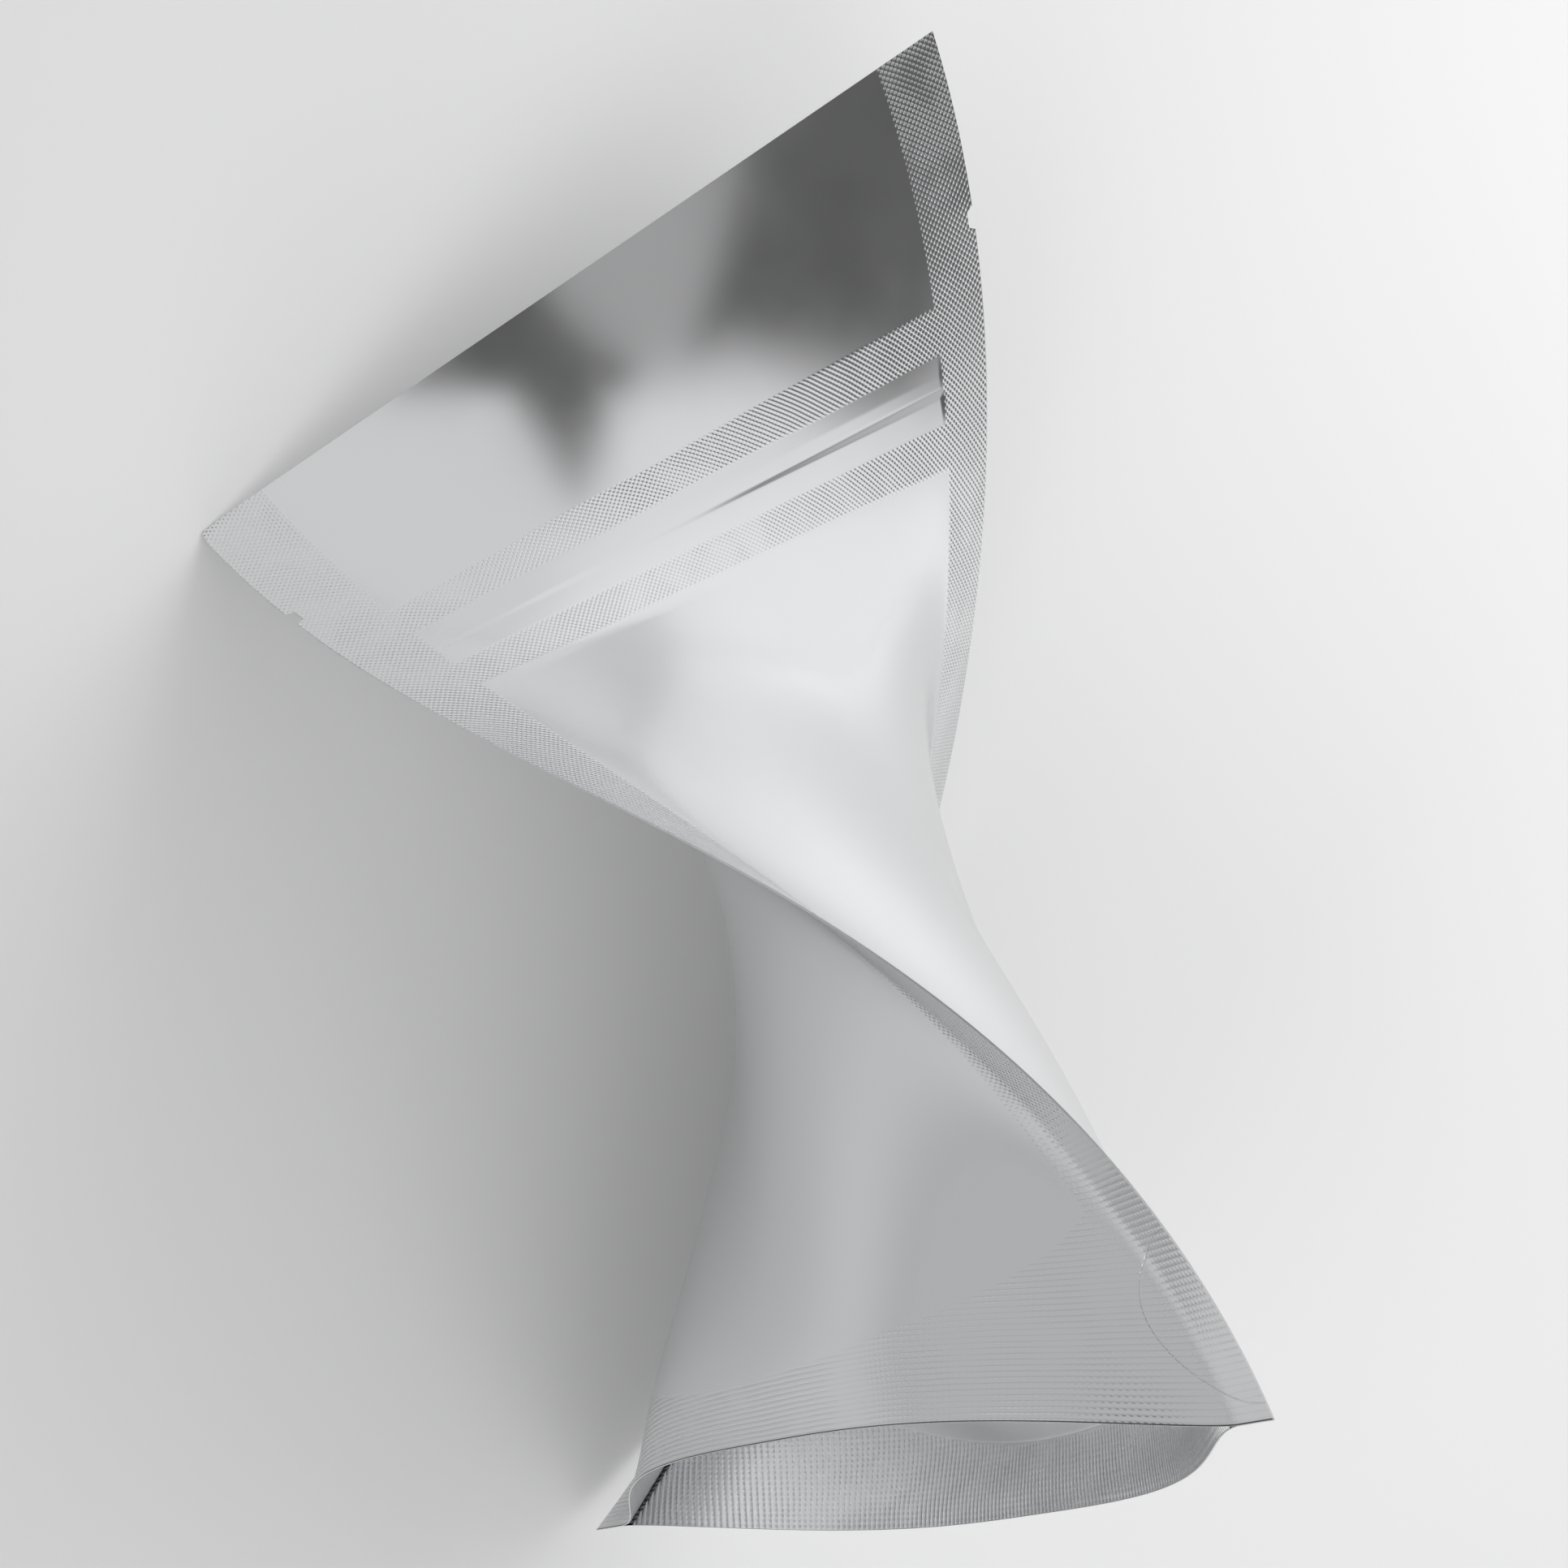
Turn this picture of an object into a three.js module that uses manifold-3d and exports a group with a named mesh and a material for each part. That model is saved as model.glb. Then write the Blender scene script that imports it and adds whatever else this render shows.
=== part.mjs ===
// A press-to-close stand-up foil pouch, empty and blank, twisted about its length and bowed.
// It lies on a table on one side seal and one top corner, with its base facing +X.
// Millimetres, +Z up, table at Z = 0, origin under the middle of its box.
import * as THREE from 'three';
import { mergeVertices } from 'three/addons/utils/BufferGeometryUtils.js';
import Module from 'manifold-3d';

const wasm = await Module();
wasm.setup();

// The flat pouch. Heights are measured from the bottom edge along the middle line.
const WIDTH = 130;
const HEIGHT = 180;
const SEAL_THICKNESS = 0.7; // both panels welded together
const WALL = 0.7; // a panel with the gusset welded to its inside
const SIDE_SEAL = 10.5; // width of each side weld

// Belly: half the depth between the panels, largest low down and nothing under the zip.
const BELLY = 29.5;
const BELLY_TOP = 132.4;
const BELLY_TAPER = 1.52; // exponent of its fall towards the top
const BELLY_ROUNDNESS = 3; // exponent of its fall towards the side seals
const SEAL_FLARE = 1.55; // how softly it runs out into the side seals
const MOUTH_SPREAD = 4.7; // how much wider the hollow is at the bottom edge
const SPREAD_REACH = 60; // height over which that fades
const MOUTH_PINCH = 2.75; // how far the bottom edge is drawn in
const PINCH_REACH = 10; // height over which that fades

// Zip: a smooth strip between two welded bands. On the front it is drawn in below a step along
// its middle, less so towards the left end. On the back it stands out as one ridge.
const ZIP_FRONT = [ // height, and how far the front stands out there
  [146.0, 0],
  [143.7, -0.1],
  [142.25, -0.03],
  [141.95, 0.02],
  [141.15, -0.26],
  [137.9, 0],
];
const ZIP_HIGH = ZIP_FRONT[0][0];
const ZIP_LOW = ZIP_FRONT.at(-1)[0];
const ZIP_RIDGE = 0.7;
const ZIP_END = 1.6; // how softly the strip ends at the side seals
const BAND_TOP = 151.2; // the weld band above the zip ends here

// Bottom gusset: a pocket that opens downwards, deepest beside the side seals.
const GUSSET_LOW = 9.5; // height of its roof in the middle
const GUSSET_SPAN = 61; // half-width of the ellipse that the roof line follows
const GUSSET_RISE = 32; // half-height of that ellipse
const GUSSET_CROWN = 5; // how much higher the fold along the roof's middle is
const POCKET_END = 57.3; // where the pocket ends, from the middle line
const POCKET_GAP = 0.4; // least width of the pocket

// Tear notches in both side edges.
const NOTCH_HEIGHT = 158.5;
const NOTCH_DEPTH = 1.2;
const NOTCH_MOUTH = 2.6;
const NOTCH_FLOOR = 1.7;

// How the pouch is wrung and bowed.
const TWIST = THREE.MathUtils.degToRad(-121);
const BEND = THREE.MathUtils.degToRad(51.5);
const BEND_TOWARDS = THREE.MathUtils.degToRad(151.5); // from the width of the middle section

// How it lies: on the side seal near this height, and on the opposite top corner.
const BEARING_HEIGHT = 46;
const PRESSED_FLAT = 1; // depth of the flats where it bears

const EDGE = WIDTH / 2;
const MIDDLE = HEIGHT / 2;

// Stations along a line: each stretch is [start, end, number of steps].
function stations(stretches) {
  const places = [stretches[0][0]];
  for (const [start, end, steps] of stretches) {
    for (let step = 1; step <= steps; step += 1) places.push(start + ((end - start) * step) / steps);
  }
  return places;
}

const HEIGHTS = stations([
  [0, 30, 11],
  [30, BELLY_TOP, 32],
  [BELLY_TOP, ZIP_LOW, 2],
  [ZIP_LOW, 141.15, 3],
  [141.15, 141.95, 1],
  [141.95, 142.25, 1],
  [142.25, 143.7, 1],
  [143.7, ZIP_HIGH, 2],
  [ZIP_HIGH, BAND_TOP, 2],
  [BAND_TOP, HEIGHT, 8],
]);
const INNER_EDGE = EDGE - SIDE_SEAL;
const ACROSS = stations([
  [-EDGE, -INNER_EDGE - MOUTH_SPREAD, 1],
  [-INNER_EDGE - MOUTH_SPREAD, -INNER_EDGE + 2, 4],
  [-INNER_EDGE + 2, INNER_EDGE - 2, 19],
  [INNER_EDGE - 2, INNER_EDGE + MOUTH_SPREAD, 4],
  [INNER_EDGE + MOUTH_SPREAD, EDGE, 1],
]);

// Half the hollow between the panels at a place on the flat pouch.
function bellyDepth(across, height) {
  const low = Math.max(height, 0);
  if (low >= BELLY_TOP) return 0;
  const hollowEdge = INNER_EDGE + MOUTH_SPREAD * Math.exp(-((low / SPREAD_REACH) ** 2));
  if (Math.abs(across) >= hollowEdge) return 0;
  const pinch = MOUTH_PINCH * Math.exp(-((low / PINCH_REACH) ** 2));
  const middleDepth = BELLY * (1 - (low / BELLY_TOP) ** BELLY_TAPER) - pinch;
  const rounded = 1 - (Math.abs(across) / hollowEdge) ** BELLY_ROUNDNESS;
  return middleDepth > 0 ? middleDepth * rounded ** SEAL_FLARE : 0;
}

// Rises smoothly from 0 at low to 1 at high.
function eased(value, low, high) {
  return THREE.MathUtils.smoothstep(value, low, high);
}

// How far the closed zip stands out on a panel, or how far in where it is negative.
function zipRelief(across, height, side) {
  const end = eased(INNER_EDGE - Math.abs(across), 0, ZIP_END);
  if (height <= ZIP_LOW || height >= ZIP_HIGH || end === 0) return 0;
  if (side > 0) {
    return ZIP_RIDGE * end * Math.sin((Math.PI * (height - ZIP_LOW)) / (ZIP_HIGH - ZIP_LOW));
  }
  const growth = 0.35 + 0.65 * eased(across, -0.5 * INNER_EDGE, 0.2 * INNER_EDGE);
  const below = ZIP_FRONT.findIndex(([level]) => level <= height);
  const [lower, lowerRelief] = ZIP_FRONT[below];
  const [upper, upperRelief] = ZIP_FRONT[below - 1];
  const share = (height - lower) / (upper - lower);
  return end * growth * (lowerRelief + share * (upperRelief - lowerRelief));
}

// From the middle plane to a panel's outer face, without the zip.
function halfDepth(across, height) {
  return SEAL_THICKNESS / 2 + bellyDepth(across, height);
}

// From the flat pouch (across, depth, height) to its wrung and bowed shape.
// The front panel is on the side of negative depth.
function wrung(across, depth, height) {
  const along = height - MIDDLE;
  const point = new THREE.Vector3(across, depth, 0);
  point.applyAxisAngle(new THREE.Vector3(0, 0, 1), (TWIST * along) / HEIGHT);
  const angle = (BEND * along) / HEIGHT;
  const radius = HEIGHT / BEND;
  point.applyAxisAngle(new THREE.Vector3(0, 0, 1), -BEND_TOWARDS);
  const reach = radius - point.x;
  point.set(radius - reach * Math.cos(angle), point.y, reach * Math.sin(angle));
  return point.applyAxisAngle(new THREE.Vector3(0, 0, 1), BEND_TOWARDS);
}

// The turn that lays the wrung pouch down, and the height of the table in it.
function layDown() {
  const bearing = wrung(EDGE, 0, BEARING_HEIGHT);
  const alongEdge = wrung(EDGE, 0, BEARING_HEIGHT + 1).sub(bearing);
  const toCorner = wrung(-EDGE, 0, HEIGHT).sub(bearing);
  const up = alongEdge.cross(toCorner).normalize();
  if (up.dot(bearing) > 0) up.negate();
  const baseFacing = wrung(0, 0, -1).sub(wrung(0, 0, 0));
  const right = baseFacing.addScaledVector(up, -baseFacing.dot(up)).normalize();
  const back = new THREE.Vector3().crossVectors(up, right);
  const turn = new THREE.Matrix4().makeBasis(right, back, up).transpose();
  return { turn, table: bearing.dot(up) + PRESSED_FLAT };
}
const LYING = layDown();

// A box of unit steps whose every vertex is given its place by a function.
function formed(steps, place) {
  const geometry = new THREE.BoxGeometry(...steps, ...steps);
  const corners = geometry.attributes.position;
  for (let index = 0; index < corners.count; index += 1) {
    const [column, layer, row] = steps.map((count, axis) => {
      return Math.round(corners.getComponent(index, axis) + count / 2);
    });
    const [across, depth, height] = place(column, layer, row);
    const point = wrung(across, depth, height).applyMatrix4(LYING.turn);
    corners.setXYZ(index, point.x, point.y, point.z - LYING.table);
  }
  return geometry;
}

// The welded panels, filled out to their outer faces.
function body() {
  return formed([ACROSS.length - 1, 1, HEIGHTS.length - 1], (column, layer, row) => {
    const across = ACROSS[column];
    const height = HEIGHTS[row];
    const side = 2 * layer - 1; // -1 for the front panel, 1 for the back
    return [across, side * (halfDepth(across, height) + zipRelief(across, height, side)), height];
  });
}

// Roof of the gusset pocket at a place between the panels: side runs from -1 to 1.
function gussetRoof(across, side) {
  const arc = GUSSET_RISE * (1 - Math.sqrt(1 - (across / GUSSET_SPAN) ** 2));
  return GUSSET_LOW + arc + GUSSET_CROWN * (1 - side ** 2);
}

function gussetPocket() {
  const below = -4; // starts clear of the bottom edge
  const nearEnd = POCKET_END - 5; // from here on the columns are closer
  const columns = stations([
    [-POCKET_END, -nearEnd, 4],
    [-nearEnd, nearEnd, 14],
    [nearEnd, POCKET_END, 4],
  ]);
  const layers = 4;
  const rows = 5;
  return formed([columns.length - 1, layers, rows], (column, layer, row) => {
    const across = columns[column];
    const side = (2 * layer) / layers - 1;
    const height = below + ((gussetRoof(across, side) - below) * row) / rows;
    const halfGap = Math.max(halfDepth(across, height) - WALL, POCKET_GAP / 2);
    return [across, side * halfGap, height];
  });
}

// A tear notch, in the edge at across > 0 or < 0.
function tearNotch(edgeSide) {
  const through = 2;
  return formed([1, 1, 1], (column, layer, row) => {
    const fromFloor = column * 2 * NOTCH_DEPTH;
    const spread = NOTCH_FLOOR + (NOTCH_MOUTH - NOTCH_FLOOR) * column * 2;
    const across = EDGE - NOTCH_DEPTH + fromFloor;
    const height = NOTCH_HEIGHT + (row - 0.5) * spread;
    return [edgeSide * across, edgeSide * (2 * layer - 1) * through, height];
  });
}

// Everything below the table, which presses the bearing places flat.
function table() {
  const size = 3 * HEIGHT;
  return new THREE.BoxGeometry(size, size, size).translate(0, 0, -size / 2);
}

function toSolid(geometry) {
  const bare = geometry.clone();
  bare.deleteAttribute('normal');
  bare.deleteAttribute('uv');
  const merged = mergeVertices(bare, 1e-4);
  const mesh = new wasm.Mesh({
    numProp: 3,
    vertProperties: new Float32Array(merged.attributes.position.array),
    triVerts: new Uint32Array(merged.index.array),
  });
  return new wasm.Manifold(mesh);
}

function toGeometry(solid) {
  const mesh = solid.getMesh();
  const geometry = new THREE.BufferGeometry();
  geometry.setAttribute('position', new THREE.BufferAttribute(mesh.vertProperties, 3));
  geometry.setIndex(new THREE.BufferAttribute(mesh.triVerts, 1));
  geometry.computeVertexNormals();
  return geometry;
}

function pouch() {
  let solid = toSolid(body());
  for (const cutter of [gussetPocket(), tearNotch(1), tearNotch(-1), table()]) {
    solid = solid.subtract(toSolid(cutter));
  }
  const geometry = toGeometry(solid);
  geometry.computeBoundingBox();
  const centre = geometry.boundingBox.getCenter(new THREE.Vector3());
  geometry.translate(-centre.x, -centre.y, 0);
  const foil = new THREE.MeshStandardMaterial({ color: 0xc9cacc, roughness: 0.3, metalness: 1 });
  const mesh = new THREE.Mesh(geometry, foil);
  mesh.name = 'pouch';
  return mesh;
}

const group = new THREE.Group();
group.add(pouch());
export default group;
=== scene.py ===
"""A press-to-close stand-up foil pouch, empty and blank, wrung about its length and bowed.

It lies on a table on one side seal and one top corner. Three films make it: a front panel with
the zip, a back panel, and a gusset film that closes the bottom. Metres throughout.
Each film is shaped on the flat pouch (X across, Z up, Y through it), then wrung and laid down.
"""
import math

import bpy
from mathutils import Matrix, Vector


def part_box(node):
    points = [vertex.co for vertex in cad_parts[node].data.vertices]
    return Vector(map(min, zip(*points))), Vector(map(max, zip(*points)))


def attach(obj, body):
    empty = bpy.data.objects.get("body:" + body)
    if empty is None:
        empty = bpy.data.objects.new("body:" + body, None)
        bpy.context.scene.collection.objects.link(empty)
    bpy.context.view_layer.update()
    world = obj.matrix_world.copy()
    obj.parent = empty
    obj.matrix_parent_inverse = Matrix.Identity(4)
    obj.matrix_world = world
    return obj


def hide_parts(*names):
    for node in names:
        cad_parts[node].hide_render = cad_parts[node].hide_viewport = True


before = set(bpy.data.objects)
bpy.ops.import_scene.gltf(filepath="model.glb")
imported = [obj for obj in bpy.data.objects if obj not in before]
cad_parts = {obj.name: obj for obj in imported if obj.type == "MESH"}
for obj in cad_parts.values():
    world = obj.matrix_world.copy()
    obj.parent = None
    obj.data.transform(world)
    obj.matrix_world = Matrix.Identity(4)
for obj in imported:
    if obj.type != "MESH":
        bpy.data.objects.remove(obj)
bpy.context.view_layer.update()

MM = 0.001
TINY = 1e-6

# The flat pouch. Heights are measured from the bottom edge along the middle line.
WIDTH = 130 * MM
HEIGHT = 180 * MM
EDGE = WIDTH / 2
MIDDLE = HEIGHT / 2
SEAL_THICKNESS = 0.40 * MM
SIDE_SEAL = 10.5 * MM
INNER_EDGE = EDGE - SIDE_SEAL

# Belly: half the depth between the panels.
BELLY = 29.5 * MM
BELLY_TOP = 132.4 * MM
BELLY_TAPER = 1.52
BELLY_ROUNDNESS = 3
SEAL_FLARE = 1.55
MOUTH_SPREAD = 4.7 * MM
SPREAD_REACH = 60 * MM
MOUTH_PINCH = 2.75 * MM
PINCH_REACH = 10 * MM

# Zip: a smooth strip between two welded bands. On the front it is drawn in below a step along
# its middle, less so towards the left end. On the back it stands out as one ridge.
ZIP_LOW = 137.9 * MM
ZIP_HIGH = 146.0 * MM
ZIP_FRONT = (  # how far it stands out, at heights from the top down, in mm
    (146.0, 0),
    (143.7, -0.10),
    (142.25, -0.03),
    (141.95, 0.02),
    (141.15, -0.26),
    (137.9, 0),
)
ZIP_DEEPEST = 0.26 * MM
ZIP_RIDGE = 0.7 * MM
ZIP_END = 0.5 * MM
ZIP_LEFT_SHARE = 0.35
ZIP_GROWS = (-0.5 * INNER_EDGE, 0.2 * INNER_EDGE)
BAND_LOW = 132.9 * MM
BAND_TOP = 151.2 * MM

# Bottom gusset.
GUSSET_LOW = 9.5 * MM
GUSSET_SPAN = 61 * MM
GUSSET_RISE = 32 * MM
GUSSET_CROWN = 5 * MM
GUSSET_END = 57.5 * MM
GUSSET_WALL = 0.3  # the share of each half of the film that is welded to a panel
BARE_END = (42, 46)  # mm from the middle: the back wall's knurl ends here

# Half-moon where both panels meet through the gusset film, at each bottom corner.
MOON_RADIUS = 10.4 * MM
MOON_HEIGHT = 12.3 * MM
MOON_LINE = (0.13, 0.05)  # mm from its line: where it starts and where it is whole
MOON_RELIEF = -0.4  # against the depth of the knurl
# the half-moon line is rougher, and painted darker as painted shade in its groove
MOON_DULLNESS_AND_SHADE = 0.9

# Tear notches in both side edges.
NOTCH_HEIGHT = 158.5 * MM
NOTCH_DEPTH = 1.2 * MM
NOTCH_MOUTH = 2.6 * MM
NOTCH_FLOOR = 1.7 * MM
NOTCH_CUTTER = 20 * MM  # thick enough to go through the pouch

# Films.
PANEL_FILM = 0.19 * MM
GUSSET_FILM = 0.15 * MM
FILM_GAP = 0.04 * MM
GUSSET_RECESS = 0.02 * MM

# Columns and rows of each film's grid. The gusset's creases lie on rows.
PANEL_GRID = (130, 150)
GUSSET_GRID = (130, 80)
ZIP_CUTS = 5
SMOOTH_BELOW = math.radians(40)

# How the pouch is wrung, bowed and laid down.
TWIST = math.radians(-121)
BEND = math.radians(51.5)
BEND_TOWARDS = math.radians(151.5)
BEARING_HEIGHT = 46 * MM
PRESSED_FLAT = 1 * MM
PRESS_REACH = 2 * MM
PRESS_SLOPE = 0.35

# Knurl, in mm: the pitches of its patterns, and how far it wanders from them.
DIAMONDS_ACROSS = 1.03
DIAMONDS_UP = 0.77
BEADS_ACROSS = 0.70
BEADS_UP = 1.57
ROWS_UP = BEADS_UP / 2
KNURL_WANDER = 0.3
WANDER_SCALE = 0.08  # swings per mm
PRESS_SCALE = 0.12  # swings per mm
LEAST_PRESSED = 0.75
BEAD_SHARE = 0.25  # against plain rows
LINE_SHARE = 0.8  # against plain rows
PIT_SHARPNESS = 2
KNURL_DEPTH = 0.085 * MM
KNURL_CHANGES = (30, 45)  # mm up, from the bottom seal's knurl to the diamonds
WELD_SOFT = 0.35  # mm, how softly a weld's edge starts
BOTTOM_SHADE_BAND = (0.23, 0.13)  # mm up: a painted shade line along the bottom edge, dark as the shadowed gap at the films' cut edges

# Roughness of the foil, and what dimples, the gusset and its roof add to it.
FOIL_ROUGHNESS = (0.17, 0.22)
DIMPLE_ROUGHNESS = 0.08
GUSSET_ROUGHNESS = 0.06
ROOF_ROUGHNESS = 0.25
CLOUD_SCALE = 60
ROOF_SHADE_ACROSS = (30, 10)  # mm across, from right to left: where the roof's painted shade starts and where it is full

# Colours, red, green, blue and alpha.
PANEL_COLOUR = (0.745, 0.750, 0.760, 1)
# the gusset foil is painted lighter than the panel foil: painted light for the dim inside of the
# pouch
GUSSET_LIGHTENED_COLOUR = (0.92, 0.925, 0.935, 1)
# painted shade: the colour that the knurl's dimples, the half-moon line and the gusset's roof are
# darkened towards
DIMPLE_SHADE_COLOUR = (0.65, 0.655, 0.665, 1)
# painted shade for the dark line along the bottom edge
BOTTOM_SHADE_COLOUR = (0.12, 0.12, 0.125, 1)
PANEL_CUT = ((0.55, 0.55, 0.56, 1), (0.74, 0.74, 0.75, 1))  # darkest and lightest
# darkest and lightest; painted shade, dark as the shadowed gap beside the gusset film's edge
GUSSET_CUT_SHADE = ((0.10, 0.10, 0.11, 1), (0.22, 0.22, 0.23, 1))
TABLE_COLOUR = (0.82, 0.82, 0.82, 1)

CAMERA_LENS = 80
CAMERA_SENSOR = 36
CAMERA_TARGET = Vector((0.0007, 0.0100, 0.0360))
CAMERA_AZIMUTH = math.radians(15.15)
CAMERA_ELEVATION = math.radians(48.94)
CAMERA_DISTANCE = 0.499
CAMERA_PICTURE_UP = Vector((-0.9485, -0.3132, -0.0474))

# The studio. Angles are in degrees.
ROOM_BRIGHTNESS = 0.48
STUDIO_STRENGTH = 1.17
CARDS = (  # brightness, how soft the edge is, and its corners anticlockwise on the map of the sky
    (0.10, 5, ((-25, 12), (14, 20.5), (32, 40), (24, 62), (-25, 62))),
    (0.09, 5, ((-48, 8), (-50, -6), (-34, -48), (-2, -48), (2, -8), (-6, 8))),
    (0.375, 4, (
        (-13.5, 14), (-19, 8), (-15, -2), (-10, -9), (0, -14), (30, -18), (40, 19), (11, 22.5),
    )),
    (0.665, 4.5, ((-25, -100), (-26, -19), (-43, -5), (-60, 8), (-120, 12), (-120, -100))),
    (0.76, 6, ((-13.5, 24), (-13, 95), (-120, 95), (-120, 12), (-45, 1), (-24.5, 1.5))),
    (1.50, 6, ((64, -4), (130, -8), (130, 80), (64, 55))),
    (0.92, 8, ((-14, 64), (-14, 120), (-60, 120), (-60, 64))),
)
GLOW_BRIGHTNESS = 0.89
GLOW_TOWARDS = (139, 9)
GLOW_INNER = 14
GLOW_OUTER = 40
SOFTBOXES = (  # name, place, size, energy
    ("near softbox", (-0.50, 0.45, 0.40), 0.9, 2.3),
    ("far softbox", (-1.00, 0.95, 0.50), 0.9, 3.5),
    ("left softbox", (-1.50, 0.35, 0.45), 1.0, 1.0),
    ("back softbox", (-0.15, 0.60, 0.40), 0.6, 0.5),
    ("right softbox", (0.22, 0.05, 0.35), 0.3, 0.26),
)
FRONT_LIGHT_TOWARDS = (300, 16)
FRONT_LIGHT_SPREAD = 40
FRONT_LIGHT_ENERGY = 1.0
TABLE_SIZE = 8


# ---------------------------------------------------------------- helpers

def only(piece):
    bpy.ops.object.select_all(action="DESELECT")
    piece.select_set(True)
    bpy.context.view_layer.objects.active = piece


def finish_modifier(piece, modifier):
    only(piece)
    bpy.ops.object.modifier_apply(modifier=modifier.name)


def settle(piece):
    """Puts the object's own move, turn and size into its mesh."""
    only(piece)
    bpy.ops.object.transform_apply(location=True, rotation=True, scale=True)


def add_to_scene(name, data):
    thing = bpy.data.objects.new(name, data)
    bpy.context.scene.collection.objects.link(thing)
    return thing


def direction(azimuth, elevation):
    """A direction from its angle from +X towards +Y, and its height, in degrees."""
    a, e = math.radians(azimuth), math.radians(elevation)
    return Vector((math.cos(a) * math.cos(e), math.sin(a) * math.cos(e), math.sin(e)))


# ---------------------------------------------------------------- camera

def place_camera():
    toward = Vector((
        math.sin(CAMERA_AZIMUTH) * math.cos(CAMERA_ELEVATION),
        -math.cos(CAMERA_AZIMUTH) * math.cos(CAMERA_ELEVATION),
        math.sin(CAMERA_ELEVATION),
    ))
    right = CAMERA_PICTURE_UP.cross(toward).normalized()
    up = toward.cross(right)
    data = bpy.data.cameras.new("camera")
    data.lens = CAMERA_LENS
    data.sensor_width = CAMERA_SENSOR
    data.clip_start = 0.01
    camera = add_to_scene("camera", data)
    turn = Matrix((right, up, toward)).transposed().to_4x4()
    camera.matrix_world = Matrix.Translation(CAMERA_TARGET + toward * CAMERA_DISTANCE) @ turn
    bpy.context.scene.camera = camera


place_camera()


# ---------------------------------------------------------------- the flat pouch

def belly_depth(across, height):
    low = max(height, 0)
    if low >= BELLY_TOP:
        return 0
    hollow_edge = INNER_EDGE + MOUTH_SPREAD * math.exp(-((low / SPREAD_REACH) ** 2))
    if abs(across) >= hollow_edge:
        return 0
    pinch = MOUTH_PINCH * math.exp(-((low / PINCH_REACH) ** 2))
    middle = BELLY * (1 - (low / BELLY_TOP) ** BELLY_TAPER) - pinch
    rounded = 1 - (abs(across) / hollow_edge) ** BELLY_ROUNDNESS
    return middle * rounded ** SEAL_FLARE if middle > 0 else 0


def eased(value, low, high):
    """Rises smoothly from 0 at low to 1 at high."""
    share = min(1, max(0, (value - low) / (high - low)))
    return share * share * (3 - 2 * share)


def zip_relief(across, height, side):
    """How far the closed zip stands out on a panel, or how far in where it is negative."""
    end = eased(INNER_EDGE - abs(across), 0, ZIP_END)
    if not ZIP_LOW < height < ZIP_HIGH or end == 0:
        return 0
    if side > 0:
        return ZIP_RIDGE * end * math.sin(math.pi * (height - ZIP_LOW) / (ZIP_HIGH - ZIP_LOW))
    growth = ZIP_LEFT_SHARE + (1 - ZIP_LEFT_SHARE) * eased(across, *ZIP_GROWS)
    for (upper, upper_relief), (lower, lower_relief) in zip(ZIP_FRONT, ZIP_FRONT[1:]):
        if height >= lower * MM:
            share = (height / MM - lower) / (upper - lower)
            return MM * end * growth * (lower_relief + share * (upper_relief - lower_relief))


def gusset_roof(across, side):
    arc = GUSSET_RISE * (1 - math.sqrt(1 - (across / GUSSET_SPAN) ** 2))
    return GUSSET_LOW + arc + GUSSET_CROWN * (1 - side ** 2)


def grid(name, columns, rows, width, height):
    """A fine grid standing in the XZ plane about the origin, facing -Y."""
    bpy.ops.object.select_all(action="DESELECT")
    bpy.ops.mesh.primitive_grid_add(x_subdivisions=columns, y_subdivisions=rows, size=1)
    sheet = bpy.context.object
    sheet.name = name
    sheet.data.name = name
    sheet.scale = (width, height, 1)
    sheet.rotation_euler.x = math.pi / 2
    settle(sheet)
    return sheet


def refine(sheet, axis, spans, cuts):
    """Adds lines to the grid in the given spans along an axis."""
    only(sheet)
    bpy.ops.object.mode_set(mode="EDIT")
    bpy.ops.mesh.select_mode(type="EDGE")
    bpy.ops.mesh.select_all(action="DESELECT")
    bpy.ops.object.mode_set(mode="OBJECT")
    points = sheet.data.vertices
    for edge in sheet.data.edges:
        start, end = (points[index].co[axis] for index in edge.vertices)
        middle = (start + end) / 2
        runs_along = abs(start - end) > TINY
        edge.select = runs_along and any(low < middle < high for low, high in spans)
    bpy.ops.object.mode_set(mode="EDIT")
    bpy.ops.mesh.subdivide(number_cuts=cuts)
    bpy.ops.object.mode_set(mode="OBJECT")


def turn_over(sheet):
    """Makes the sheet's faces look the other way."""
    only(sheet)
    bpy.ops.object.mode_set(mode="EDIT")
    bpy.ops.mesh.select_all(action="SELECT")
    bpy.ops.mesh.flip_normals()
    bpy.ops.object.mode_set(mode="OBJECT")


def keep_flat_place(sheet):
    """Keeps each point's place on the flat pouch as the sheet's own UV map."""
    layer = sheet.data.uv_layers.get("flat") or sheet.data.uv_layers.new(name="flat")
    for loop in sheet.data.loops:
        place = sheet.data.vertices[loop.vertex_index].co
        layer.data[loop.index].uv = (place.x / WIDTH + 0.5, place.z / HEIGHT + 0.5)
    for other in [x for x in sheet.data.uv_layers if x.name != "flat"]:
        sheet.data.uv_layers.remove(other)


def push_out(sheet, name, reach, share):
    """Pushes the sheet along Y by a share of the reach that varies over it."""
    group = sheet.vertex_groups.new(name=name)
    for vertex in sheet.data.vertices:
        part = share(vertex.co.x, vertex.co.z + MIDDLE)
        if part > 0:
            group.add([vertex.index], part, "REPLACE")
    push = sheet.modifiers.new(name, "DISPLACE")
    push.direction = "Y"
    push.mid_level = 0
    push.strength = reach
    push.vertex_group = name
    finish_modifier(sheet, push)
    sheet.vertex_groups.remove(sheet.vertex_groups[name])


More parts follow.
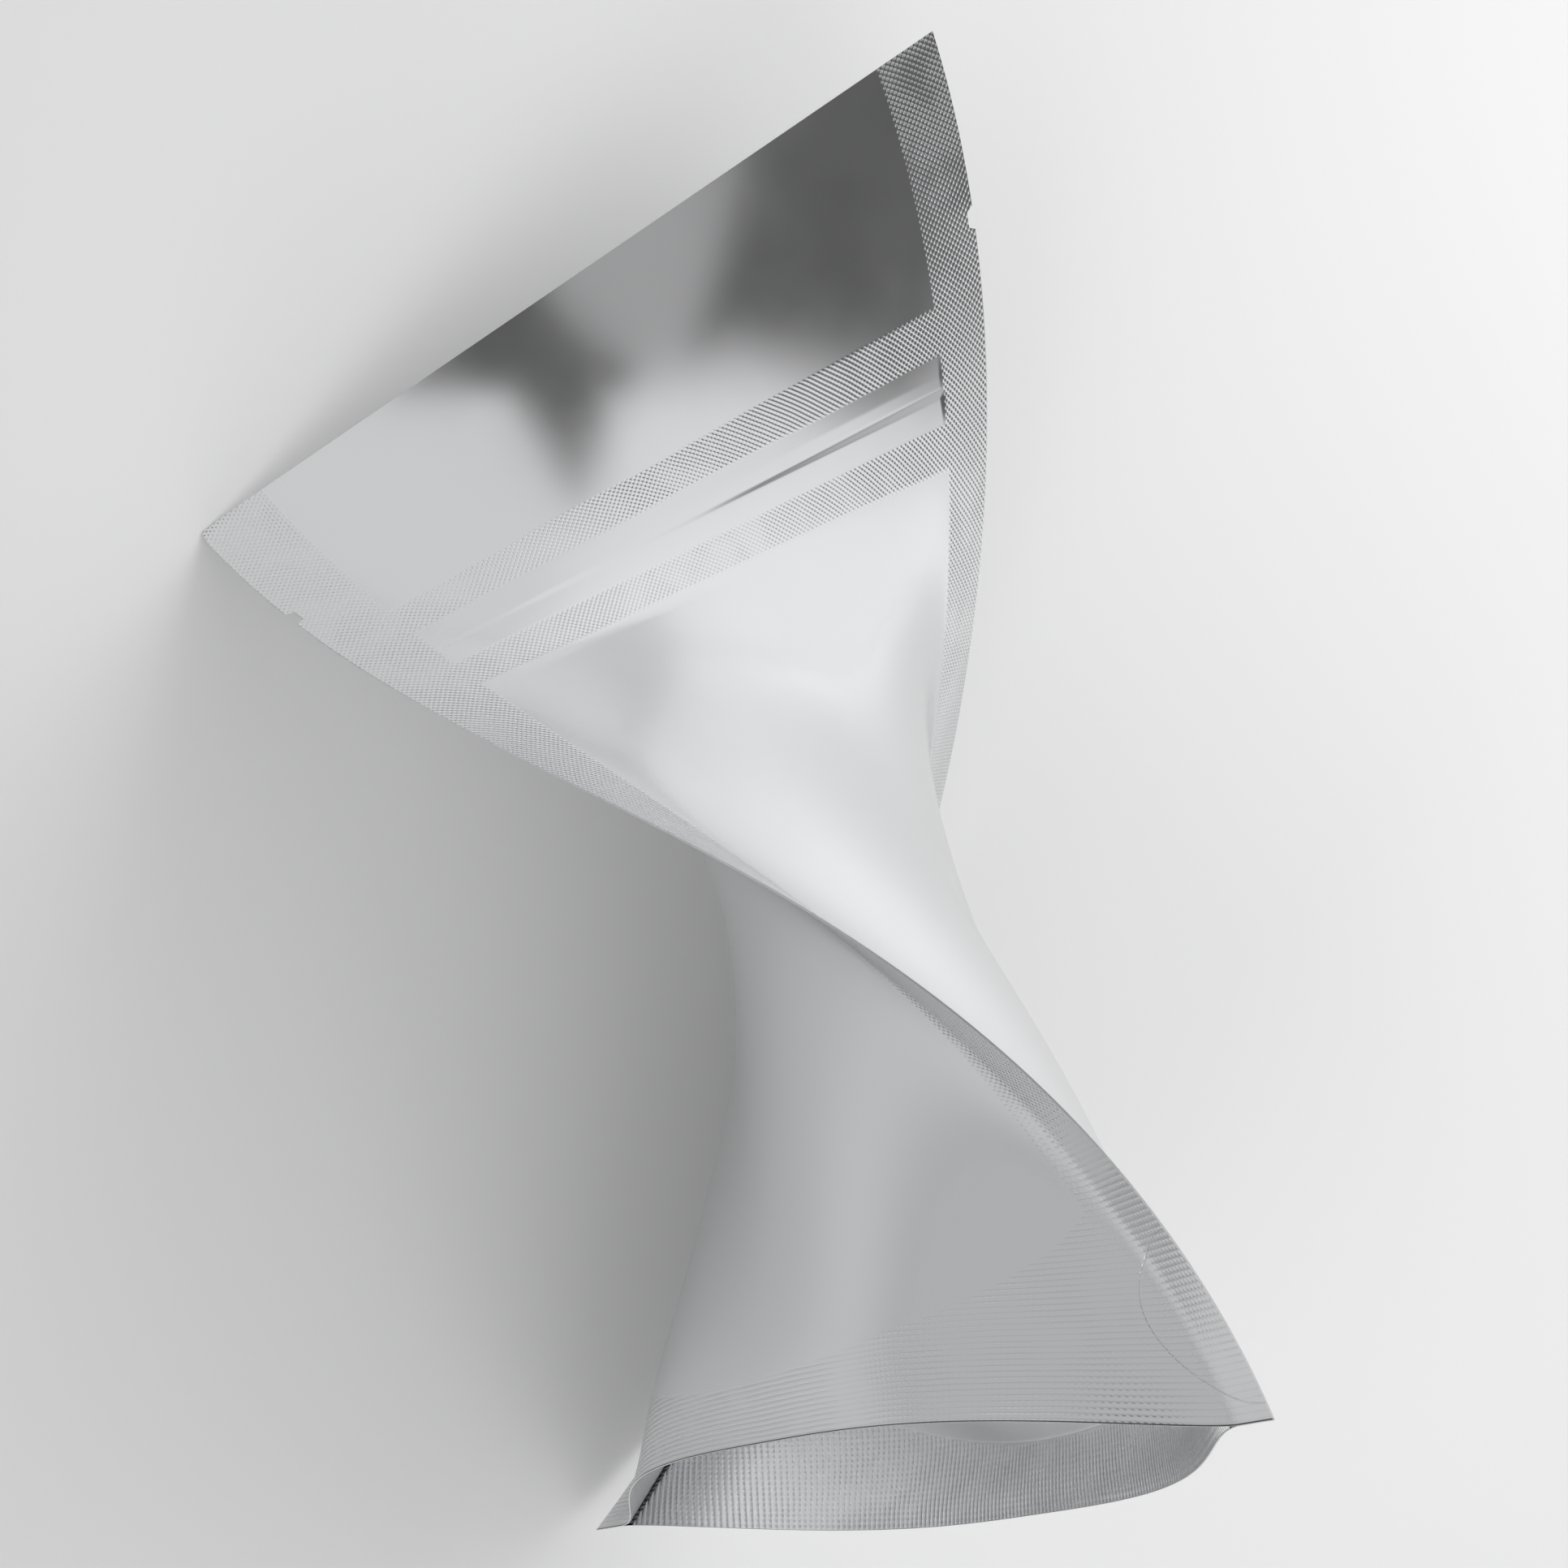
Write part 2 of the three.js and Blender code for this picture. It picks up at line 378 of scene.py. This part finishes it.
def thicken(sheet, thickness, offset):
    """Gives the sheet its film's thickness. Its cut edges take the second material."""
    wall = sheet.modifiers.new("film", "SOLIDIFY")
    wall.thickness = thickness
    wall.offset = offset
    wall.material_offset_rim = 1
    wall.use_even_offset = True
    wall.use_quality_normals = True
    finish_modifier(sheet, wall)


def cut_notch(sheet, side):
    """Cuts a tear notch in the edge on one side."""
    bpy.ops.object.select_all(action="DESELECT")
    bpy.ops.mesh.primitive_cube_add(size=1)
    cutter = bpy.context.object
    for material in sheet.data.materials:
        cutter.data.materials.append(material)
    for face in cutter.data.polygons:
        face.material_index = 1
    outer = 2 * NOTCH_MOUTH - NOTCH_FLOOR  # it reaches as far beyond the edge as into it
    for vertex in cutter.data.vertices:
        beyond = vertex.co.x > 0
        vertex.co.x = EDGE + (NOTCH_DEPTH if beyond else -NOTCH_DEPTH)
        vertex.co.y *= NOTCH_CUTTER
        vertex.co.z *= outer if beyond else NOTCH_FLOOR
        vertex.co.z += NOTCH_HEIGHT - MIDDLE
    if side < 0:
        cutter.rotation_euler.z = math.pi
        settle(cutter)
    cut = sheet.modifiers.new("notch", "BOOLEAN")
    cut.operation = "DIFFERENCE"
    cut.solver = "EXACT"
    cut.object = cutter
    finish_modifier(sheet, cut)
    bpy.data.objects.remove(cutter)


# ---------------------------------------------------------------- wringing and laying down

def wrung(across, depth, height):
    """A point of the flat pouch on the wrung and bowed one."""
    along = height - MIDDLE
    turn = Matrix.Rotation(TWIST * along / HEIGHT - BEND_TOWARDS, 3, "Z")
    point = turn @ Vector((across, depth, 0))
    radius = HEIGHT / BEND
    angle = along / radius
    reach = radius - point.x
    bowed = Vector((radius - reach * math.cos(angle), point.y, reach * math.sin(angle)))
    return Matrix.Rotation(BEND_TOWARDS, 3, "Z") @ bowed


def lay_down():
    """The turn and move that lay the wrung pouch down on the table."""
    bearing = wrung(EDGE, 0, BEARING_HEIGHT)
    along_edge = wrung(EDGE, 0, BEARING_HEIGHT + MM) - bearing
    to_corner = wrung(-EDGE, 0, HEIGHT) - bearing
    up = along_edge.cross(to_corner).normalized()
    if up.dot(bearing) > 0:
        up.negate()
    base_facing = wrung(0, 0, -MM) - wrung(0, 0, 0)
    right = (base_facing - up * base_facing.dot(up)).normalized()
    back = up.cross(right)
    turn = Matrix((right, back, up)).to_4x4()
    return Matrix.Translation((0, 0, -bearing.dot(up) - PRESSED_FLAT)) @ turn


def deform(sheet, name, method, axis, whole_angle):
    """Twists or bends a sheet by its share of the whole pouch's height."""
    heights = [vertex.co.z for vertex in sheet.data.vertices]
    change = sheet.modifiers.new(name, "SIMPLE_DEFORM")
    change.deform_method = method
    change.deform_axis = axis
    change.angle = whole_angle * (max(heights) - min(heights)) / HEIGHT
    finish_modifier(sheet, change)


def wring(sheet):
    deform(sheet, "twist", "TWIST", "Z", TWIST)
    sheet.rotation_euler.z = -BEND_TOWARDS
    settle(sheet)
    deform(sheet, "bow", "BEND", "Y", BEND)
    sheet.rotation_euler.z = BEND_TOWARDS
    settle(sheet)
    sheet.matrix_world = lay_down()
    settle(sheet)


def press_onto_table(sheet, lowest):
    """Presses what would go through the table flat against it, and lets it rise smoothly."""
    span = PRESS_REACH - lowest
    for vertex in sheet.data.vertices:
        if vertex.co.z < PRESS_REACH:
            t = max(0, (vertex.co.z - lowest) / span)
            rise = PRESS_SLOPE * span * (t ** 3 - 2 * t ** 2 + t)
            level = PRESS_REACH * (3 * t ** 2 - 2 * t ** 3) + span * (t ** 3 - t ** 2)
            vertex.co.z = rise + level


# ---------------------------------------------------------------- pieces

def film_grid(name, columns_and_rows, width, height, materials):
    sheet = grid(name, *columns_and_rows, width, height)
    for material in materials:
        sheet.data.materials.append(material)
    return sheet


def panel(name, side, *materials):
    """The front panel has side -1 and the back panel 1."""
    sheet = film_grid(name, PANEL_GRID, WIDTH, HEIGHT, materials)
    zip_end = (INNER_EDGE - 2 * MM, INNER_EDGE)
    refine(sheet, 0, [zip_end, tuple(-x for x in reversed(zip_end))], 1)
    refine(sheet, 2, [(ZIP_LOW - MIDDLE, ZIP_HIGH - MIDDLE)], ZIP_CUTS)
    keep_flat_place(sheet)
    if side > 0:
        turn_over(sheet)
    for part, reach, depth in (
        ("seal", SEAL_THICKNESS / 2, lambda *place: SEAL_THICKNESS / 2),
        ("belly", BELLY, belly_depth),
        ("zip ridge", ZIP_RIDGE, lambda *place: max(0, zip_relief(*place, side))),
        ("zip dip", -ZIP_DEEPEST, lambda *place: min(0, zip_relief(*place, side))),
    ):
        push_out(sheet, part, side * reach, lambda *place: depth(*place) / reach)
    thicken(sheet, PANEL_FILM, -1)
    for edge_side in (1, -1):
        cut_notch(sheet, edge_side)
    return sheet


def gusset(*materials):
    """The gusset film: a wall up each panel, and the folded roof between them.

    It is drawn as a run from -1 at the front panel's foot to 1 at the back panel's.
    """
    sheet = film_grid("gusset", GUSSET_GRID, 2 * GUSSET_END, 2, materials)
    sheet.data.uv_layers.active.name = "flat"
    for vertex in sheet.data.vertices:
        across = vertex.co.x
        run = vertex.co.z
        if abs(run) > 1 - GUSSET_WALL - TINY:
            side = math.copysign(1, run)
            height = max(GUSSET_RECESS, gusset_roof(across, 1) * (1 - abs(run)) / GUSSET_WALL)
        else:
            side = run / (1 - GUSSET_WALL)
            height = gusset_roof(across, side)
        outer = SEAL_THICKNESS / 2 + belly_depth(across, height)
        inside = outer - PANEL_FILM - FILM_GAP - GUSSET_FILM / 2
        vertex.co = (across, side * max(inside, GUSSET_FILM / 2), height - MIDDLE)
    keep_flat_place(sheet)
    side_of = sheet.data.attributes.new("wall", "FLOAT", "POINT")
    for vertex in sheet.data.vertices:
        side_of.data[vertex.index].value = 1 if vertex.co.y > 0 else 0
    thicken(sheet, GUSSET_FILM, 0)
    return sheet


# ---------------------------------------------------------------- materials

class Nodes:
    """Small helper that adds nodes to a tree and joins them."""

    def __init__(self, tree):
        self.tree = tree

    def give(self, node_input, value):
        """Joins an input to another node's output, or sets it to a value."""
        if isinstance(value, bpy.types.NodeSocket):
            self.tree.links.new(value, node_input)
        else:
            node_input.default_value = value

    def add(self, kind, *inputs, **settings):
        node = self.tree.nodes.new(kind)
        for key, value in settings.items():
            setattr(node, key, value)
        for index, value in enumerate(inputs):
            self.give(node.inputs[index], value)
        return node

    def math(self, operation, *inputs, clamp=False):
        return self.add("ShaderNodeMath", *inputs, operation=operation, use_clamp=clamp).outputs[0]

    def times(self, first, second):
        return self.math("MULTIPLY", first, second)

    def minus(self, first, second):
        return self.math("SUBTRACT", first, second)

    def plus_times(self, start, first, second, clamp=False):
        """Start plus the product of the other two."""
        return self.math("MULTIPLY_ADD", first, second, start, clamp=clamp)

    def between(self, first, second, share):
        """The first value at share 0, and the second at 1."""
        return self.plus_times(first, share, self.minus(second, first))

    def ramp(self, value, low, high, start=0.0, end=1.0):
        inputs = (value, low, high, start, end)
        return self.add("ShaderNodeMapRange", *inputs, interpolation_type="SMOOTHSTEP").outputs[0]

    def noise(self, place, scale, **settings):
        node = self.add("ShaderNodeTexNoise", place, **settings)
        node.inputs["Scale"].default_value = scale
        return node

    def colours(self, first, second, share):
        """The first colour at share 0, and the second at 1."""
        node = self.add("ShaderNodeMix", data_type="RGBA")
        for name, value in (("A", first), ("B", second), ("Factor", share)):
            self.give(node.inputs[name], value)
        return node.outputs["Result"]


def knurl_group():
    """Weld knurl: diamonds of fine dimples on the upper seals, and rows of beads on the bottom one.

    Where it is slanted, the bottom one has slanting lines instead of beads.
    """
    tree = bpy.data.node_groups.new("weld knurl", "ShaderNodeTree")
    for name in ("Across", "Height", "Welded", "Slanted"):
        tree.interface.new_socket(name, in_out="INPUT", socket_type="NodeSocketFloat")
    for name in ("Relief", "Dimple"):
        tree.interface.new_socket(name, in_out="OUTPUT", socket_type="NodeSocketFloat")
    n = Nodes(tree)
    given = n.add("NodeGroupInput").outputs
    across, height, welded, slanted = (given[index] for index in range(4))

    # the knurl wanders a little, and some of it is pressed less deeply
    place = n.add("ShaderNodeCombineXYZ", across, height).outputs[0]
    wander = n.noise(place, WANDER_SCALE, noise_dimensions="2D").outputs["Fac"]
    shift = n.plus_times(-KNURL_WANDER / 2, wander, KNURL_WANDER)
    press = n.noise(place, PRESS_SCALE, noise_dimensions="2D").outputs["Fac"]
    pressed = n.ramp(press, 0.35, 0.60, LEAST_PRESSED, 1)

    def wave(value, pitch):
        return n.math("COSINE", n.times(n.math("ADD", value, shift), 2 * math.pi / pitch))

    diamonds = n.times(wave(across, DIAMONDS_ACROSS), wave(height, DIAMONDS_UP))
    beads = n.times(wave(across, BEADS_ACROSS), wave(height, BEADS_UP))
    lines = wave(n.plus_times(across, height, -BEADS_ACROSS / BEADS_UP), BEADS_ACROSS)
    rows = wave(height, ROWS_UP)
    beaded = n.between(rows, beads, BEAD_SHARE)
    lined = n.between(rows, lines, LINE_SHARE)
    bottom = n.between(beaded, lined, slanted)
    raised = n.between(bottom, diamonds, n.ramp(height, *KNURL_CHANGES))
    depth = n.plus_times(0.5, raised, -0.5, clamp=True)
    pit = n.times(n.math("POWER", depth, PIT_SHARPNESS), n.times(welded, pressed))
    out = n.add("NodeGroupOutput")
    n.give(out.inputs["Relief"], n.times(pit, -1))
    n.give(out.inputs["Dimple"], n.ramp(pit, 0.3, 0.9))
    return tree


KNURL = knurl_group()


def flat_place(n):
    """How far across and how high a point is on the flat pouch, in mm."""
    uv = n.add("ShaderNodeUVMap", uv_map="flat").outputs[0]
    split = n.add("ShaderNodeSeparateXYZ", uv).outputs
    across = n.times(n.minus(split[0], 0.5), WIDTH / MM)
    height = n.times(split[1], HEIGHT / MM)
    return across, height


def below_arc(n, across, height):
    """Where a panel and the gusset film are welded together."""
    share = n.times(across, MM / GUSSET_SPAN)
    fall = n.math("SQRT", n.minus(1, n.times(share, share)), clamp=True)
    arc = n.plus_times((GUSSET_LOW + GUSSET_RISE) / MM, fall, -GUSSET_RISE / MM)
    return n.ramp(n.minus(height, arc), WELD_SOFT, -WELD_SOFT)


def panel_welds(n, off, height, bottom_seal):
    """The bottom seal, the side seals and the two bands beside the zip."""
    side_seal = n.ramp(n.minus(off, INNER_EDGE / MM), -WELD_SOFT, WELD_SOFT)
    welded = n.math("MAXIMUM", bottom_seal, side_seal)
    for low, high in ((BAND_LOW, ZIP_LOW), (ZIP_HIGH, BAND_TOP)):
        start = n.ramp(height, low / MM - WELD_SOFT, low / MM + WELD_SOFT)
        stop = n.ramp(height, high / MM + WELD_SOFT, high / MM - WELD_SOFT)
        welded = n.math("MAXIMUM", welded, n.times(start, stop))
    return welded


def gusset_welds(n, off, bottom_seal):
    """The gusset film's walls. Near its ends the back one is smooth."""
    back_wall = n.add("ShaderNodeAttribute", attribute_name="wall").outputs["Fac"]
    bare_end = n.times(back_wall, n.ramp(off, *BARE_END))
    return n.times(bottom_seal, n.minus(1, bare_end))


def half_moon(n, off, height):
    """The thin outline of the half-moon."""
    sideways = n.minus(off, EDGE / MM)
    upwards = n.minus(height, MOON_HEIGHT / MM)
    square = n.math("ADD", n.times(sideways, sideways), n.times(upwards, upwards))
    from_line = n.math("ABSOLUTE", n.minus(n.math("SQRT", square), MOON_RADIUS / MM))
    return n.ramp(from_line, *MOON_LINE)


def foil(name, is_gusset=False):
    """Shiny metal film, knurled where it is welded. Its dimples are rougher, and painted darker as
    painted shade in the hollows.
    """
    material = bpy.data.materials.new(name)
    material.use_nodes = True
    tree = material.node_tree
    tree.nodes.clear()
    n = Nodes(tree)
    across, height = flat_place(n)
    off = n.math("ABSOLUTE", across)
    bottom_seal = below_arc(n, across, height)
    if is_gusset:
        welded = gusset_welds(n, off, bottom_seal)
    else:
        welded = panel_welds(n, off, height, bottom_seal)
    slanted = 1.0 if is_gusset else 0.0
    knurl = n.add("ShaderNodeGroup", across, height, welded, slanted, node_tree=KNURL)
    relief, dimple = knurl.outputs

    # the film is a little uneven in gloss
    cloud = n.noise(n.add("ShaderNodeTexCoord").outputs["Object"], CLOUD_SCALE)
    cloud.inputs["Detail"].default_value = 3
    roughness = n.ramp(cloud.outputs["Fac"], 0.3, 0.7, *FOIL_ROUGHNESS)
    if is_gusset:
        roof = n.minus(1, bottom_seal)
        # painted shade: the roof is darker towards the right and lighter where the inner wall
        # mirrors it, plus half the dimples' painted shade
        roof_shade = n.times(roof, n.ramp(across, *ROOF_SHADE_ACROSS))
        painted_shade = n.math("MAXIMUM", n.times(dimple, 0.5), roof_shade)
        colour = n.colours(GUSSET_LIGHTENED_COLOUR, DIMPLE_SHADE_COLOUR, painted_shade)
        roughness = n.math("ADD", roughness, GUSSET_ROUGHNESS)
        roughness = n.plus_times(roughness, roof, ROOF_ROUGHNESS)
    else:
        line = half_moon(n, off, height)
        relief = n.plus_times(relief, line, MOON_RELIEF)
        # the half-moon line gets the dimples' roughness and their painted shade
        dimple = n.math("MAXIMUM", dimple, n.times(line, MOON_DULLNESS_AND_SHADE))
        # painted shade in the dimples and along the half-moon line, weaker on the diamonds
        painted_shade = n.times(dimple, n.ramp(height, *KNURL_CHANGES, 1, 0.7))
        colour = n.colours(PANEL_COLOUR, DIMPLE_SHADE_COLOUR, painted_shade)
        # painted shade: a dark line along the bottom edge, for the shadowed gap between the films
        colour = n.colours(colour, BOTTOM_SHADE_COLOUR, n.ramp(height, *BOTTOM_SHADE_BAND))
    bump = n.add("ShaderNodeBump")
    bump.inputs["Strength"].default_value = 1
    bump.inputs["Distance"].default_value = KNURL_DEPTH
    n.give(bump.inputs["Height"], relief)
    shader = n.add("ShaderNodeBsdfPrincipled")
    n.give(shader.inputs["Base Color"], colour)
    n.give(shader.inputs["Metallic"], 1)
    n.give(shader.inputs["Roughness"], n.plus_times(roughness, dimple, DIMPLE_ROUGHNESS))
    n.give(shader.inputs["Normal"], bump.outputs[0])
    n.add("ShaderNodeOutputMaterial", shader.outputs[0])
    return material


def cut_film(name, darkest, lightest):
    """A film's cut edge, where its plastic core shows between the thin metal layers. The gusset
    film's edge is given dark colours: painted shade for the gap beside it.
    """
    material = bpy.data.materials.new(name)
    material.use_nodes = True
    n = Nodes(material.node_tree)
    shader = material.node_tree.nodes["Principled BSDF"]
    grain = n.noise(n.add("ShaderNodeTexCoord").outputs["Object"], 1500)
    n.give(shader.inputs["Base Color"], n.colours(darkest, lightest, grain.outputs["Fac"]))
    n.give(shader.inputs["Metallic"], 0.8)
    n.give(shader.inputs["Roughness"], 0.35)
    return material


# ---------------------------------------------------------------- build

panel_materials = (foil("foil"), cut_film("cut film", *PANEL_CUT))
front = panel("front_panel", -1, *panel_materials)
back = panel("back_panel", 1, *panel_materials)
# the gusset film's cut edge carries painted shade
liner = gusset(foil("gusset foil", is_gusset=True), cut_film("shaded cut gusset film", *GUSSET_CUT_SHADE))
films = [front, back, liner]
for film in films:
    wring(film)
points = [vertex.co.copy() for film in films for vertex in film.data.vertices]
lowest = min(point.z for point in points)
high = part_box("pouch")[1]
shift = Vector((high.x - max(p.x for p in points), high.y - max(p.y for p in points), 0))
for film in films:
    press_onto_table(film, lowest)
    film.data.transform(Matrix.Translation(shift))
    only(film)
    bpy.ops.object.shade_smooth_by_angle(angle=SMOOTH_BELOW)

for film in films:
    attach(film, "root")
    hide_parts("pouch")


# ---------------------------------------------------------------- table and light

def lay_table():
    bpy.ops.object.select_all(action="DESELECT")
    bpy.ops.mesh.primitive_plane_add(size=TABLE_SIZE)
    table = bpy.context.object
    table.name = "table"
    material = bpy.data.materials.new("pale table")
    material.use_nodes = True
    shader = material.node_tree.nodes["Principled BSDF"]
    shader.inputs["Base Color"].default_value = TABLE_COLOUR
    shader.inputs["Roughness"].default_value = 0.9
    table.data.materials.append(material)


def light_studio():
    """Windows and dark walls around the table, laid out as soft-edged cards on a map of the sky.

    The map counts degrees from straight above: its right is +X and its top is +Y.
    """
    world = bpy.data.worlds.new("studio")
    bpy.context.scene.world = world
    world.use_nodes = True
    world.node_tree.nodes.clear()
    n = Nodes(world.node_tree)
    towards = n.add("ShaderNodeTexCoord").outputs["Generated"]
    x, y, z = n.add("ShaderNodeSeparateXYZ", towards).outputs
    level = n.add("ShaderNodeCombineXYZ", x, y, 0).outputs[0]
    sideways = n.add("ShaderNodeVectorMath", level, operation="NORMALIZE").outputs[0]
    place = n.add("ShaderNodeVectorMath", sideways, operation="SCALE")
    n.give(place.inputs["Scale"], n.math("DEGREES", n.math("ARCCOSINE", z)))

    brightness = ROOM_BRIGHTNESS
    for card_brightness, soft, corners in CARDS:
        nearest = None
        for start, end in zip(corners, corners[1:] + corners[:1]):
            along = Vector(end) - Vector(start)
            inward = Vector((-along.y, along.x, 0)).normalized()
            edge = inward.x * start[0] + inward.y * start[1]
            reach = n.add("ShaderNodeVectorMath", place.outputs[0], inward, operation="DOT_PRODUCT")
            from_edge = n.minus(reach.outputs["Value"], edge)
            nearest = from_edge if nearest is None else n.math("MINIMUM", nearest, from_edge)
        brightness = n.between(brightness, card_brightness, n.ramp(nearest, -soft, soft))
    # the bright horizon at the back
    glow_towards = direction(*GLOW_TOWARDS)
    way = n.add("ShaderNodeVectorMath", towards, glow_towards, operation="DOT_PRODUCT")
    outer, inner = (math.cos(math.radians(angle)) for angle in (GLOW_OUTER, GLOW_INNER))
    glow = n.ramp(way.outputs["Value"], outer, inner)
    brightness = n.between(brightness, GLOW_BRIGHTNESS, glow)
    background = n.add("ShaderNodeBackground", brightness, STUDIO_STRENGTH)
    n.add("ShaderNodeOutputWorld", background.outputs[0])


def hang_front_light():
    """A low, broad light that brightens the table in front of the pouch and under it."""
    data = bpy.data.lights.new("front light", "SUN")
    data.energy = FRONT_LIGHT_ENERGY
    data.angle = math.radians(FRONT_LIGHT_SPREAD)
    light = add_to_scene("front light", data)
    light.rotation_euler = direction(*FRONT_LIGHT_TOWARDS).to_track_quat("Z", "Y").to_euler()
    light.visible_glossy = False


def hang_softbox(name, place, size, energy):
    """A soft light over part of the table, which the foil doesn't mirror."""
    data = bpy.data.lights.new(name, "AREA")
    data.shape = "SQUARE"
    data.size = size
    data.energy = energy
    light = add_to_scene(name, data)
    light.location = place
    light.visible_glossy = False
    light.visible_camera = False


lay_table()
light_studio()
for softbox in SOFTBOXES:
    hang_softbox(*softbox)
hang_front_light()
bpy.context.scene.view_settings.view_transform = "Standard"
